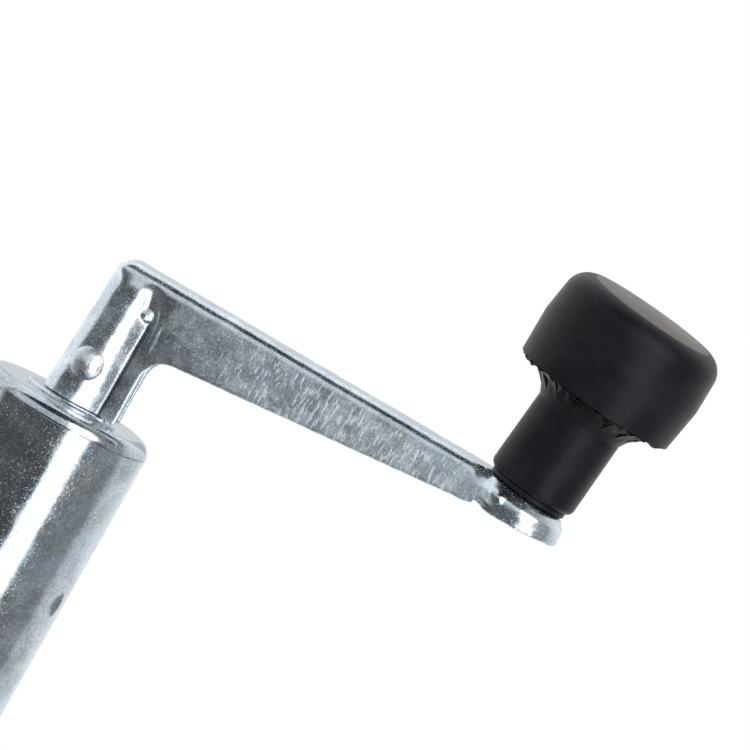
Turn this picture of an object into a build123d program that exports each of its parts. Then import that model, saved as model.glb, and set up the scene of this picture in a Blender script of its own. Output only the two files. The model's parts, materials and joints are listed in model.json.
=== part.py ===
from build123d import *
from math import asin, ceil, cos, pi, radians, sin, sqrt, tan
import os

# Jockey wheel for a trailer's drawbar: a clamp tube with a screw spindle, a cranked handle with a
# turning knob on top, and a castor wheel on the telescopic leg below.
# Millimetres, +Z up, crank arm towards +X, wheel axle along Y. The origin is on the tube's axis, in the
# middle of the band where the trailer's clamp grips. The leg is wound right up, as stored for travel.

os.makedirs("parts", exist_ok=True)

# Clearances
seat_gap = 0.05  # pressed, clamped and screwed seats
run_gap = 0.08  # shafts turning in bores
slide_gap = 0.3  # tubes and guides sliding in each other
face_gap = 0.3  # faces that turn or stop against each other
cut_over = 1.0  # how far a cutting body runs past the face it opens

# Clamp tube
outer_d = 48.0
outer_wall = 2.5
outer_length = 370.0
clamp_depth = 170.0  # from the tube's top down to the origin
shoulder_r = 1.0  # inner radius where the tube's end is rolled in
mark_count = 3
mark_d = 8.5  # round pressed marks that hold the steady bush
mark_depth = 1.6
mark_below_top = 45.3
mark_turn = -18.0  # degrees from +X, towards the front
key_d = 10.0  # deeper mark that keeps the leg from turning
key_depth = 3.2
key_above_mouth = 35.0
key_turn = 180.0

# Top bearing
plate_t = 5.0
ring_d = 24.0  # collar that shows above the tube
ring_proud = 0.8
ring_edge = 0.5
sleeve_d = 18.0
race_t = 2.6
race_d = 31.0
ball_d = 5.0
ball_sink = 0.8  # how deep a ball sits in each race
ball_gap = 0.1
top_ball_count = 14
cage_t = 1.6
cage_rim = 1.2  # cage metal inside and outside the balls

# Spindle and thread
journal_d = 12.0
journal_above_top = 22.0
collar_d = 26.0
collar_t = 5.0
neck_step_d = 17.0  # locates the lower race
spindle_d = 18.0
root_d = 13.2
pitch = 6.0
crest_share = 0.30
root_share = 0.34
flank_steps = 4
thread_gap = 0.35  # on the radius
thread_side_gap = 0.22  # along the axis, each side
travel_turns = 36
thread_runout = 4.0
stub_d = 11.0
stub_length = 14.0
stop_d = 27.0
stop_t = 4.0
stop_pin_d = 4.0
stop_pin_length = 20.0
edge_chamfer = 1.0

# Steady bush, guides and telescopic leg
bush_length = 20.0
bush_groove_side = 0.3
inner_d = 40.0
inner_wall = 2.5
inner_below_mouth = 10.0
guide_ring_length = 14.0
guide_ring_cap = 2.5
mouth_bush_length = 24.0
mouth_flange_d = 48.0
mouth_flange_t = 2.0
mouth_flange_edge = 0.7
nut_length = 30.0
nut_below_end = 8.0
nut_pin_d = 6.0
nut_pin_count = 3
nut_pin_depth = 6.0
nut_pin_turn = 60.0  # degrees from +X
slot_end_gap = 3.0

# Swivel
plug_length = 22.0
swivel_flange_t = 3.0
kingpin_d = 16.0
kingpin_thread_d = 14.0
swivel_d = 38.0
swivel_ball_count = 14
swivel_cage_rim = 1.4
swivel_ball_out = 0.5  # how far the balls run outside the races' middle
kingpin_washer_d = 32.0
kingpin_washer_t = 2.5
kingpin_nut_across = 22.0
kingpin_nut_t = 12.0
kingpin_tip = 2.0

# Fork
fork_sheet = 4.0
fork_bend_r = 8.0
crown_half = 27.0
trail = 40.0  # the axle stands this far behind the tube's axis
fork_toe_r = 17.0
fork_lip_height = 5.0  # outward lip along the legs' edges
fork_lip_sheet = 3.0

# Wheel
wheel_d = 200.0
tread_width = 50.0
wheel_clear = 5.0  # from the kingpin's tip to the tyre
hub_length = 54.0
hub_d = 26.0
hub_wall = 3.5
spacer_t = 1.8
spacer_d = 22.0
axle_d = 12.0
axle_head_across = 18.0
axle_head_t = 7.5
axle_nut_t = 12.0
axle_tip = 2.5
washer_t = 2.0
washer_d = 24.0
bush_flange_t = 1.5
bush_depth = 18.0
rim_sheet = 2.0
rim_seat_d = 116.0
rim_flange_d = 134.0
rim_half_width = 22.0
rim_neck_length = 13.0
rim_disc_r = 44.0
rim_lip_lean = 2.0
rim_slope = 11.0
rim_bend_r = 3.0
rim_neck_r = 0.5
tyre_lip = 4.0
tyre_lip_r = 2.0
tyre_shoulder_r = 13.0
tread_groove_w = 3.0
tread_groove_depth = 2.0
tread_groove_y = 10.0
bolt_count = 4
bolt_circle_d = 62.0
bolt_d = 6.0
bolt_across = 10.0
bolt_head_t = 4.0
bolt_nut_t = 5.0
bolt_tip = 1.5
bolt_turn = 45.0  # degrees

# Crank handle
sheet = 2.0
arm_width = 14.0
leg_gap = 0.5  # between the collar ring and the handle's foot
leg_left = 7.7
leg_lean = 2.7  # degrees
leg_right = 13.2
arm_top_height = 39.5
arm_root_x = 23.1
arm_root_height = 21.7
arm_toe_height = 29.3
elbow_r = 4.4
crotch_r = 6.5
crotch_drop = 1.1
bend_r = 3.0
pad_bend_x = 99.0
knob_reach = 112.0
knob_tilt = 5.5  # degrees outwards
nose_top_r = 10.3
nose_foot_r = 13.4
nose_height = 7.8
nose_round = 2.2
bulge_r = 8.0
bulge_height = 27.0
bulge_fade = 7.0
rivet_d = 6.0
rivet_head_d = 8.7
rivet_head_h = 1.9
rivet_height = 11.4
rivet_flat = 7.3  # from the spindle's axis to the flat under a rivet head

# Knob
foot_d = 21.6
foot_t = 1.2
stem_foot_r = 12.2
stem_neck_r = 12.0
rib_foot_h = 20.4  # heights on the knob count up from its foot
stem_round = 2.0
head_rim_h = 28.2
head_rim_r = 22.0
head_part_h = 39.9
head_part_r = 23.0
head_shoulder_h = 48.4
head_shoulder_r = 22.4
head_top_h = 53.7
cap_r = 17.5
cap_t = 1.6
cap_rim = 0.5
cap_line = 0.15  # open line round the cap
cap_crown = 0.6
head_wall = 2.6
head_roof = 6.0
rib_count = 16
rib_t = 1.4
rib_mid_r = 14.6
rib_mid_h = 25.1
knob_pin_d = 10.0
knob_pin_tail_d = 14.0
knob_pin_tail_t = 1.8
knob_pin_head_d = 15.0
knob_pin_head_t = 2.5
knob_pocket_d = 20.0
knob_pocket_depth = 8.0

# Radii and heights that follow
outer_r = outer_d / 2
outer_in_r = outer_r - outer_wall
tube_top = clamp_depth
tube_mouth = tube_top - outer_length
mark_z = tube_top - mark_below_top
key_z = tube_mouth + key_above_mouth
ring_r = ring_d / 2
sleeve_r = sleeve_d / 2
journal_r = journal_d / 2
spindle_r = spindle_d / 2
root_r = root_d / 2
stub_r = stub_d / 2
ball_r = ball_d / 2
bearing_t = 2 * race_t + ball_d - 2 * ball_sink
plate_top = tube_top - outer_wall
plate_bottom = plate_top - plate_t
upper_race_bottom = plate_bottom - race_t
top_ball_z = plate_bottom - bearing_t / 2
collar_top = plate_bottom - bearing_t
top_ball_circle_r = (sleeve_d + race_d) / 4
bush_bottom = mark_z - bush_length / 2
inner_r = inner_d / 2
inner_in_r = inner_r - inner_wall
inner_top = bush_bottom - face_gap - guide_ring_cap
inner_bottom = tube_mouth - inner_below_mouth
travel = travel_turns * pitch
nut_top = inner_top - nut_below_end
nut_bottom = nut_top - nut_length
thread_top = bush_bottom - thread_runout
thread_bottom = nut_bottom - travel - face_gap
stop_top = thread_bottom
stop_pin_z = stop_top - stop_t - stop_pin_d / 2
stub_bottom = stop_top - stub_length
journal_top = tube_top + journal_above_top
swivel_top = inner_bottom - swivel_flange_t
swivel_ball_z = swivel_top - bearing_t / 2
crown_top = swivel_top - bearing_t
crown_bottom = crown_top - fork_sheet
kingpin_r = kingpin_d / 2
swivel_ball_circle_r = (kingpin_r + swivel_d / 2) / 2 + swivel_ball_out
king_washer_top = crown_bottom - face_gap
king_nut_top = king_washer_top - kingpin_washer_t
kingpin_end = king_nut_top - kingpin_nut_t - kingpin_tip
wheel_r = wheel_d / 2
axle_z = kingpin_end - wheel_clear - sqrt(wheel_r**2 - trail**2)
axle_r = axle_d / 2
fork_in = hub_length / 2 + face_gap + spacer_t + seat_gap
fork_out = fork_in + fork_sheet
leg_bottom = tube_top + ring_proud + leg_gap
arm_top = tube_top + arm_top_height
knob_drop = (knob_reach - pad_bend_x) * tan(radians(knob_tilt))
seat_z = arm_top - knob_drop

# Planes and axes of the tilted knob and of the wheel
tilt = radians(knob_tilt)
knob_seat = (knob_reach, 0, seat_z)
knob_plane = Plane(origin=knob_seat, x_dir=(cos(tilt), 0, -sin(tilt)), z_dir=(sin(tilt), 0, cos(tilt)))
knob_side = Plane(origin=knob_plane.origin, x_dir=knob_plane.x_dir, z_dir=-knob_plane.y_dir)
knob_axis = Axis(knob_plane.origin, knob_plane.z_dir)
wheel_plane = Plane(origin=(-trail, 0, axle_z), x_dir=(1, 0, 0), z_dir=(0, -1, 0))
wheel_side = Plane(origin=(-trail, 0, axle_z), x_dir=(0, 1, 0), z_dir=(1, 0, 0))
wheel_axis = Axis((-trail, 0, axle_z), (0, 1, 0))


def save(piece, name):
    """Label a finished piece and write it to its own file."""
    piece.part.label = name
    export_step(piece.part, f"parts/{name}.step")


def dimple(width, depth):
    """Radius of the ball that presses a round mark into the clamp tube, and how far out its centre is."""
    press_r = ((width / 2) ** 2 + depth**2) / (2 * depth)
    return press_r, outer_r - depth + press_r


def thread_section(root, crest, crest_part, root_part):
    """Cross-section of a single-start thread: a crest arc, a root arc and two flanks."""

    def at(radius, turn):
        return (radius * cos(2 * pi * turn), radius * sin(2 * pi * turn))

    flank = (1 - crest_part - root_part) / 2
    crest_end = crest_part / 2
    root_start = crest_end + flank
    steps = [k / flank_steps for k in range(flank_steps + 1)]
    down = [at(crest + (root - crest) * k, crest_end + flank * k) for k in steps]
    with BuildSketch() as section:
        with BuildLine():
            ThreePointArc(at(crest, -crest_end), at(crest, 0), at(crest, crest_end))
            Spline(*down)
            ThreePointArc(at(root, root_start), at(root, 0.5), at(root, -root_start))
            Spline(*[(x, -y) for x, y in reversed(down)])
        make_face()
    return section.sketch.faces()[0]


def thread_body(root, crest, crest_part, root_part, bottom, top):
    """Left-hand thread between two heights, in phase with every other one made here. It is sewn together
    from equal lengths of about one turn, which keeps its mesh light."""
    lengths = ceil((top - bottom) / pitch)
    step = (top - bottom) / lengths
    turn = -360 * step / pitch
    section = thread_section(root, crest, crest_part, root_part)
    start = section.rotate(Axis.Z, -360 * bottom / pitch).moved(Location((0, 0, bottom)))
    first = Solid.extrude_linear_with_rotation(start, (0, 0, bottom), (0, 0, step), turn)

    def at_length(face, k):
        return face.rotate(Axis.Z, k * turn).moved(Location((0, 0, k * step)))

    ends = first.faces().filter_by(GeomType.PLANE).sort_by(Axis.Z)
    sides = [face for face in first.faces() if face.geom_type != GeomType.PLANE]
    faces = [at_length(side, k) for k in range(lengths) for side in sides]
    return Solid(Shell(faces + [ends[0], at_length(ends[-1], lengths - 1)]))


# Clamp tube, its end rolled in over the top plate, with three marks round the steady bush and one deep key
mark_ball_r, mark_ball_x = dimple(mark_d, mark_depth)
key_ball_r, key_ball_x = dimple(key_d, key_depth)
with BuildPart() as mark_backs:
    with Locations((0, 0, mark_z)):
        with PolarLocations(mark_ball_x, mark_count, start_angle=mark_turn):
            Sphere(mark_ball_r + outer_wall)
    with Locations((0, 0, key_z)):
        with PolarLocations(key_ball_x, 1, start_angle=key_turn):
            Sphere(key_ball_r + outer_wall)
    with BuildSketch(Plane.XY.offset(tube_mouth)):
        Circle(outer_d)
        Circle(outer_r - outer_wall / 2, mode=Mode.SUBTRACT)
    extrude(amount=outer_length, mode=Mode.SUBTRACT)
with BuildPart() as outer_tube:
    with BuildSketch(Plane.XZ):
        with BuildLine():
            FilletPolyline(
                (outer_in_r, tube_mouth),
                (outer_in_r, plate_top),
                (ring_r + seat_gap, plate_top),
                radius=shoulder_r,
            )
            offset(amount=outer_wall, side=Side.RIGHT)
        make_face()
    revolve(axis=Axis.Z)
    add(mark_backs.part)
    with Locations((0, 0, mark_z)):
        with PolarLocations(mark_ball_x, mark_count, start_angle=mark_turn):
            Sphere(mark_ball_r, mode=Mode.SUBTRACT)
    with Locations((0, 0, key_z)):
        with PolarLocations(key_ball_x, 1, start_angle=key_turn):
            Sphere(key_ball_r, mode=Mode.SUBTRACT)
save(outer_tube, "outer_tube")

# Plate under the rolled end, which takes the load
with BuildPart() as top_plate:
    with BuildSketch(Plane.XY.offset(plate_bottom)):
        Circle(outer_in_r - seat_gap)
        Circle(sleeve_r + seat_gap, mode=Mode.SUBTRACT)
    extrude(amount=plate_t)
    chamfer(top_plate.faces().sort_by(Axis.Z)[-1].outer_wire().edges(), shoulder_r)
save(top_plate, "top_plate")

# Flanged bush that carries the spindle's journal and shows as a collar on the tube's end
with BuildPart() as top_bush:
    with BuildSketch(Plane.XY.offset(plate_top)):
        Circle(ring_r)
    extrude(amount=outer_wall + ring_proud)
    chamfer(top_bush.faces().sort_by(Axis.Z)[-1].edges(), ring_edge)
    with BuildSketch(Plane.XY.offset(upper_race_bottom)):
        Circle(sleeve_r)
    extrude(amount=plate_top - upper_race_bottom)
    with Locations((0, 0, tube_top + ring_proud)):
        Hole(journal_r + run_gap)
save(top_bush, "top_bush")


def bearing_race(bottom, bore_r, rim_r, circle_r, ball_z):
    """One race of a ball bearing, with its ball groove."""
    with BuildPart() as race:
        with BuildSketch(Plane.XY.offset(bottom)):
            Circle(rim_r)
            Circle(bore_r, mode=Mode.SUBTRACT)
        extrude(amount=race_t)
        with BuildSketch(Plane.XZ):
            with Locations((circle_r, ball_z)):
                Circle(ball_r + ball_gap)
        revolve(axis=Axis.Z, mode=Mode.SUBTRACT)
    return race


def bearing_balls(circle_r, count, ball_z):
    """A ring of loose balls."""
    with BuildPart() as balls:
        with Locations((0, 0, ball_z)):
            with PolarLocations(circle_r, count):
                Sphere(ball_r)
    return balls


def bearing_cage(circle_r, count, ball_z, rim):
    """The flat cage that spaces the balls."""
    with BuildPart() as cage:
        with BuildSketch(Plane.XY.offset(ball_z - cage_t / 2)):
            Circle(circle_r + ball_r + rim)
            Circle(circle_r - ball_r - rim, mode=Mode.SUBTRACT)
            with PolarLocations(circle_r, count):
                Circle(ball_r + ball_gap, mode=Mode.SUBTRACT)
        extrude(amount=cage_t)
    return cage


# Thrust bearing between the plate and the spindle's collar
race_r = race_d / 2
upper_bore_r = sleeve_r + seat_gap
lower_bore_r = neck_step_d / 2 + seat_gap
thrust_race_upper = bearing_race(upper_race_bottom, upper_bore_r, race_r, top_ball_circle_r, top_ball_z)
save(thrust_race_upper, "thrust_race_upper")
thrust_race_lower = bearing_race(collar_top, lower_bore_r, race_r, top_ball_circle_r, top_ball_z)
save(thrust_race_lower, "thrust_race_lower")
save(bearing_balls(top_ball_circle_r, top_ball_count, top_ball_z), "thrust_balls")
save(bearing_cage(top_ball_circle_r, top_ball_count, top_ball_z, cage_rim), "thrust_cage")

# Steady bush round the spindle's neck, held by the three pressed marks in its groove
groove_r = mark_ball_x - mark_ball_r - outer_wall - bush_groove_side
groove_half = sqrt((mark_ball_r + outer_wall) ** 2 - (mark_ball_x - outer_in_r) ** 2) + bush_groove_side
with BuildPart() as steady_bush:
    with BuildSketch(Plane.XZ):
        with Locations(((outer_in_r - seat_gap + spindle_r + run_gap) / 2, mark_z)):
            Rectangle(outer_in_r - seat_gap - spindle_r - run_gap, bush_length)
        with Locations(((outer_r + groove_r) / 2, mark_z)):
            Rectangle(outer_r - groove_r, 2 * groove_half, mode=Mode.SUBTRACT)
    revolve(axis=Axis.Z)
save(steady_bush, "steady_bush")

# Spindle: journal, collar, neck and a left-hand thread, so that winding clockwise lengthens the leg
screw = thread_body(root_r, spindle_r, crest_share, root_share, thread_bottom, thread_top)
with BuildPart() as spindle:
    with BuildSketch(Plane.XY.offset(stub_bottom)):
        Circle(stub_r)
    extrude(amount=stub_length)
    chamfer(spindle.faces().sort_by(Axis.Z)[0].edges(), edge_chamfer)
    add(screw)
    with BuildSketch(Plane.XY.offset(thread_top)):
        Circle(spindle_r)
    extrude(amount=collar_top - thread_top)
    with BuildSketch(Plane.XY.offset(collar_top - collar_t)):
        Circle(collar_d / 2)
    extrude(amount=collar_t)
    with BuildSketch(Plane.XY.offset(collar_top)):
        Circle(neck_step_d / 2)
    extrude(amount=race_t - seat_gap)
    with BuildSketch(Plane.XY.offset(collar_top)):
        Circle(journal_r)
    extrude(amount=journal_top - collar_top)
    chamfer(spindle.faces().sort_by(Axis.Z)[-1].edges(), edge_chamfer)
    with BuildSketch(Plane.XZ):
        with Locations((0, tube_top + rivet_height)):
            Circle(rivet_d / 2 + seat_gap)
        with Locations((0, stop_pin_z)):
            Circle(stop_pin_d / 2 + seat_gap)
    extrude(amount=journal_d, both=True, mode=Mode.SUBTRACT)
save(spindle, "spindle")

# Washer and cross pin that keep the nut from running off the spindle
with BuildPart() as stop_washer:
    with BuildSketch(Plane.XY.offset(stop_top - stop_t)):
        Circle(stop_d / 2)
        Circle(stub_r + seat_gap, mode=Mode.SUBTRACT)
    extrude(amount=stop_t)
save(stop_washer, "stop_washer")
with BuildPart() as stop_pin:
    with BuildSketch(Plane.XZ):
        with Locations((0, stop_pin_z)):
            Circle(stop_pin_d / 2)
    extrude(amount=stop_pin_length / 2, both=True)
save(stop_pin, "stop_pin")

# Telescopic leg, with the slot that the clamp tube's key slides in
key_half = sqrt((key_ball_r + outer_wall) ** 2 - (key_ball_x - inner_r) ** 2) + slide_gap
slot_low = key_z - key_half - slot_end_gap
slot_high = key_z + travel + key_half + slot_end_gap
with BuildPart() as inner_tube:
    with BuildSketch(Plane.XY.offset(inner_bottom)):
        Circle(inner_r)
        Circle(inner_in_r, mode=Mode.SUBTRACT)
    extrude(amount=inner_top - inner_bottom)
    with BuildSketch(Plane.YZ):
        with Locations((0, (slot_low + slot_high) / 2)):
            SlotOverall(slot_high - slot_low, 2 * key_half, rotation=90)
    extrude(amount=-outer_d, mode=Mode.SUBTRACT)
    with Locations((0, 0, (nut_top + nut_bottom) / 2)):
        with PolarLocations(0, nut_pin_count, start_angle=nut_pin_turn):
            Cylinder(
                nut_pin_d / 2 + seat_gap,
                outer_d,
                rotation=(0, 90, 0),
                align=(Align.CENTER, Align.CENTER, Align.MIN),
                mode=Mode.SUBTRACT,
            )
save(inner_tube, "inner_tube")

# Plastic ring on the leg's top end that guides it in the clamp tube
with BuildPart() as guide_ring:
    with BuildSketch(Plane.XY.offset(inner_top - guide_ring_length)):
        Circle(outer_in_r - slide_gap)
        Circle(inner_r + seat_gap, mode=Mode.SUBTRACT)
    extrude(amount=guide_ring_length)
    with BuildSketch(Plane.XY.offset(inner_top)):
        Circle(outer_in_r - slide_gap)
        Circle(inner_in_r, mode=Mode.SUBTRACT)
    extrude(amount=guide_ring_cap)
save(guide_ring, "guide_ring")

# Plastic bush in the clamp tube's mouth that guides the leg
with BuildPart() as mouth_bush:
    with BuildSketch(Plane.XY.offset(tube_mouth)):
        Circle(outer_in_r - seat_gap)
    extrude(amount=mouth_bush_length)
    with BuildSketch(Plane.XY.offset(tube_mouth - mouth_flange_t)):
        Circle(mouth_flange_d / 2)
    extrude(amount=mouth_flange_t)
    chamfer(mouth_bush.faces().sort_by(Axis.Z)[0].edges(), mouth_flange_edge)
    with Locations((0, 0, tube_mouth + mouth_bush_length)):
        Hole(inner_r + slide_gap)
save(mouth_bush, "mouth_bush")

# Nut fixed in the leg's top end, and the pins that hold it
nut_cutter = thread_body(
    root_r + thread_gap,
    spindle_r + thread_gap,
    crest_share + 2 * thread_side_gap / pitch,
    root_share - 2 * thread_side_gap / pitch,
    nut_bottom - cut_over,
    nut_top + cut_over,
)
with BuildPart() as spindle_nut:
    with BuildSketch(Plane.XY.offset(nut_bottom)):
        Circle(inner_in_r - seat_gap)
    extrude(amount=nut_length)
    chamfer(spindle_nut.edges().filter_by(GeomType.CIRCLE), edge_chamfer)
    add(nut_cutter, mode=Mode.SUBTRACT)
    with Locations((0, 0, (nut_top + nut_bottom) / 2)):
        with PolarLocations(inner_r - nut_pin_depth, nut_pin_count, start_angle=nut_pin_turn):
            Cylinder(
                nut_pin_d / 2 + seat_gap,
                outer_d,
                rotation=(0, 90, 0),
                align=(Align.CENTER, Align.CENTER, Align.MIN),
                mode=Mode.SUBTRACT,
            )
save(spindle_nut, "spindle_nut")
with BuildPart() as nut_pins:
    with Locations((0, 0, (nut_top + nut_bottom) / 2)):
        with PolarLocations(inner_r - nut_pin_depth, nut_pin_count, start_angle=nut_pin_turn):
            Cylinder(
                nut_pin_d / 2,
                nut_pin_depth - seat_gap,
                rotation=(0, 90, 0),
                align=(Align.CENTER, Align.CENTER, Align.MIN),
            )
save(nut_pins, "nut_pins")

# Kingpin: a plug fixed in the leg's foot, its flange, and the pin that the fork swivels on
with BuildPart() as kingpin:
    with BuildSketch(Plane.XY.offset(inner_bottom)):
        Circle(inner_in_r - seat_gap)
    extrude(amount=plug_length)
    chamfer(kingpin.faces().sort_by(Axis.Z)[-1].edges(), edge_chamfer)
    with BuildSketch(Plane.XY.offset(swivel_top)):
        Circle(inner_r)
    extrude(amount=swivel_flange_t)
    with BuildSketch(Plane.XY.offset(king_washer_top)):
        Circle(kingpin_r)
    extrude(amount=swivel_top - king_washer_top)
    with BuildSketch(Plane.XY.offset(kingpin_end)):
        Circle(kingpin_thread_d / 2)
    extrude(amount=king_washer_top - kingpin_end)
    chamfer(kingpin.faces().sort_by(Axis.Z)[0].edges(), edge_chamfer)
save(kingpin, "kingpin")

# Swivel bearing between the kingpin's flange and the fork's crown
swivel_r = swivel_d / 2
swivel_bore_r = kingpin_r + seat_gap
swivel_turn_r = kingpin_r + run_gap
swivel_race_bottom = swivel_top - race_t
swivel_race_upper = bearing_race(
    swivel_race_bottom, swivel_bore_r, swivel_r, swivel_ball_circle_r, swivel_ball_z
)
save(swivel_race_upper, "swivel_race_upper")
swivel_race_lower = bearing_race(crown_top, swivel_turn_r, swivel_r, swivel_ball_circle_r, swivel_ball_z)
save(swivel_race_lower, "swivel_race_lower")
save(bearing_balls(swivel_ball_circle_r, swivel_ball_count, swivel_ball_z), "swivel_balls")
save(bearing_cage(swivel_ball_circle_r, swivel_ball_count, swivel_ball_z, swivel_cage_rim), "swivel_cage")

# Washer and nut that hold the fork up
with BuildPart() as kingpin_washer:
    with BuildSketch(Plane.XY.offset(king_nut_top)):
        Circle(kingpin_washer_d / 2)
        Circle(kingpin_thread_d / 2 + seat_gap, mode=Mode.SUBTRACT)
    extrude(amount=kingpin_washer_t)
save(kingpin_washer, "kingpin_washer")
with BuildPart() as kingpin_nut:
    with BuildSketch(Plane.XY.offset(king_nut_top - kingpin_nut_t)):
        RegularPolygon(kingpin_nut_across / 2, 6, major_radius=False)
        Circle(kingpin_thread_d / 2 + seat_gap, mode=Mode.SUBTRACT)
    extrude(amount=kingpin_nut_t)
save(kingpin_nut, "kingpin_nut")

# Fork: pressed steel crown and two legs that reach back to the axle, with lips along the legs' edges
fork_low = axle_z - wheel_r
with BuildSketch(Plane.XZ) as fork_outline:
    with Locations((-trail, axle_z)):
        Circle(fork_toe_r)
    with Locations((0, crown_top)):
        Rectangle(2 * crown_half, fork_sheet + fork_bend_r, align=(Align.CENTER, Align.MAX))
    make_hull()
with BuildSketch(Plane.XZ) as fork_lip:
    add(fork_outline.sketch)
    offset(fork_outline.sketch, amount=-fork_lip_sheet, mode=Mode.SUBTRACT)
    with Locations((0, crown_bottom - fork_bend_r)):
        Rectangle(4 * wheel_r, wheel_r, align=(Align.CENTER, Align.MIN), mode=Mode.SUBTRACT)
with BuildPart() as fork:
    with BuildSketch(Plane.YZ):
        with BuildLine():
            FilletPolyline(
                (-fork_out, fork_low),
                (-fork_out, crown_top),
                (fork_out, crown_top),
                (fork_out, fork_low),
                radius=(0, fork_bend_r + fork_sheet, fork_bend_r + fork_sheet, 0),
                close=True,
            )
        make_face()
    extrude(amount=wheel_r, both=True)
    extrude(fork_outline.sketch, amount=wheel_r, both=True, mode=Mode.INTERSECT)
    extrude(fork_lip.sketch, amount=fork_out + fork_lip_height, both=True)
    with BuildSketch(Plane.YZ):
        with BuildLine():
            FilletPolyline(
                (-fork_in, fork_low - cut_over),
                (-fork_in, crown_bottom),
                (fork_in, crown_bottom),
                (fork_in, fork_low - cut_over),
                radius=(0, fork_bend_r, fork_bend_r, 0),
                close=True,
            )
        make_face()
    extrude(amount=wheel_d, both=True, mode=Mode.SUBTRACT)
    with BuildSketch(Plane.XY.offset(crown_bottom)):
        Circle(kingpin_r + run_gap)
    extrude(amount=fork_sheet, mode=Mode.SUBTRACT)
    with BuildSketch(wheel_plane):
        Circle(axle_r + seat_gap)
    extrude(amount=wheel_r, both=True, mode=Mode.SUBTRACT)
save(fork, "fork")

# Axle bolt with its washers and nut, and the spacers between the fork and the hub
washer_side = fork_out + washer_t
with BuildPart() as axle_bolt:
    with BuildSketch(wheel_plane.offset(washer_side)):
        RegularPolygon(axle_head_across / 2, 6, major_radius=False)
    extrude(amount=axle_head_t)
    with BuildSketch(wheel_plane.offset(washer_side)):
        Circle(axle_r)
    extrude(amount=-(2 * washer_side + axle_nut_t + axle_tip))
    chamfer(axle_bolt.faces().sort_by(Axis.Y)[-1].edges(), edge_chamfer)
save(axle_bolt, "axle_bolt")
with BuildPart() as axle_nut:
    with BuildSketch(wheel_plane.offset(-washer_side)):
        RegularPolygon(axle_head_across / 2, 6, major_radius=False)
        Circle(axle_r + seat_gap, mode=Mode.SUBTRACT)
    extrude(amount=-axle_nut_t)
save(axle_nut, "axle_nut")
with BuildPart() as axle_washers:
    with BuildSketch(wheel_plane.offset(fork_out)) as washer_ring:
        Circle(washer_d / 2)
        Circle(axle_r + seat_gap, mode=Mode.SUBTRACT)
    extrude(amount=washer_t)
    mirror(about=Plane.XZ)
save(axle_washers, "axle_washers")
with BuildPart() as axle_spacers:
    with BuildSketch(wheel_plane.offset(hub_length / 2 + face_gap)):
        Circle(spacer_d / 2)
        Circle(axle_r + seat_gap, mode=Mode.SUBTRACT)
    extrude(amount=spacer_t)
    mirror(about=Plane.XZ)
save(axle_spacers, "axle_spacers")

# Hub tube and the two flanged bushes pressed into it
hub_r = hub_d / 2
hub_in_r = hub_r - hub_wall
hub_tube_half = hub_length / 2 - bush_flange_t
with BuildPart() as hub_tube:
    with BuildSketch(wheel_plane):
        Circle(hub_r)
        Circle(hub_in_r, mode=Mode.SUBTRACT)
    extrude(amount=hub_tube_half, both=True)
save(hub_tube, "hub_tube")
with BuildPart() as hub_bushes:
    with BuildSketch(wheel_plane.offset(hub_tube_half)):
        Circle(hub_r - edge_chamfer)
        Circle(axle_r + run_gap, mode=Mode.SUBTRACT)
    extrude(amount=bush_flange_t)
    with BuildSketch(wheel_plane.offset(hub_tube_half)):
        Circle(hub_in_r - seat_gap)
        Circle(axle_r + run_gap, mode=Mode.SUBTRACT)
    extrude(amount=-bush_depth)
    mirror(about=Plane.XZ)
save(hub_bushes, "hub_bushes")

# Pressed rim halves, back to back on the wheel's middle plane
rim_seat_r = rim_seat_d / 2
rim_flange_r = rim_flange_d / 2
with BuildPart() as rim_front:
    with BuildSketch(wheel_side):
        with BuildLine():
            FilletPolyline(
                (-rim_neck_length, hub_r + seat_gap),
                (0, hub_r + seat_gap),
                (0, rim_disc_r),
                (-rim_slope, rim_seat_r),
                (-rim_half_width, rim_seat_r),
                (-rim_half_width - rim_lip_lean, rim_flange_r),
                radius=(rim_neck_r, rim_bend_r, rim_bend_r, rim_bend_r),
            )
            offset(amount=rim_sheet, side=Side.LEFT)
        make_face()
    revolve(axis=wheel_axis)
    with BuildSketch(wheel_plane):
        with PolarLocations(bolt_circle_d / 2, bolt_count, start_angle=bolt_turn):
            Circle(bolt_d / 2 + seat_gap)
    extrude(amount=wheel_r, mode=Mode.SUBTRACT)
save(rim_front, "rim_front")
with BuildPart() as rim_back:
    mirror(rim_front.part, about=Plane.XZ)
save(rim_back, "rim_back")
with BuildPart() as rim_bolts:
    with BuildSketch(wheel_plane.offset(rim_sheet)):
        with PolarLocations(bolt_circle_d / 2, bolt_count, start_angle=bolt_turn):
            RegularPolygon(bolt_across / 2, 6, major_radius=False)
    extrude(amount=bolt_head_t)
    with BuildSketch(wheel_plane.offset(rim_sheet)):
        with PolarLocations(bolt_circle_d / 2, bolt_count, start_angle=bolt_turn):
            Circle(bolt_d / 2)
    extrude(amount=-(2 * rim_sheet + bolt_nut_t + bolt_tip))
save(rim_bolts, "rim_bolts")
with BuildPart() as rim_nuts:
    with BuildSketch(wheel_plane.offset(-rim_sheet)):
        with PolarLocations(bolt_circle_d / 2, bolt_count, start_angle=bolt_turn):
            RegularPolygon(bolt_across / 2, 6, major_radius=False)
            Circle(bolt_d / 2 + seat_gap, mode=Mode.SUBTRACT)
    extrude(amount=-bolt_nut_t)
save(rim_nuts, "rim_nuts")

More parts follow.
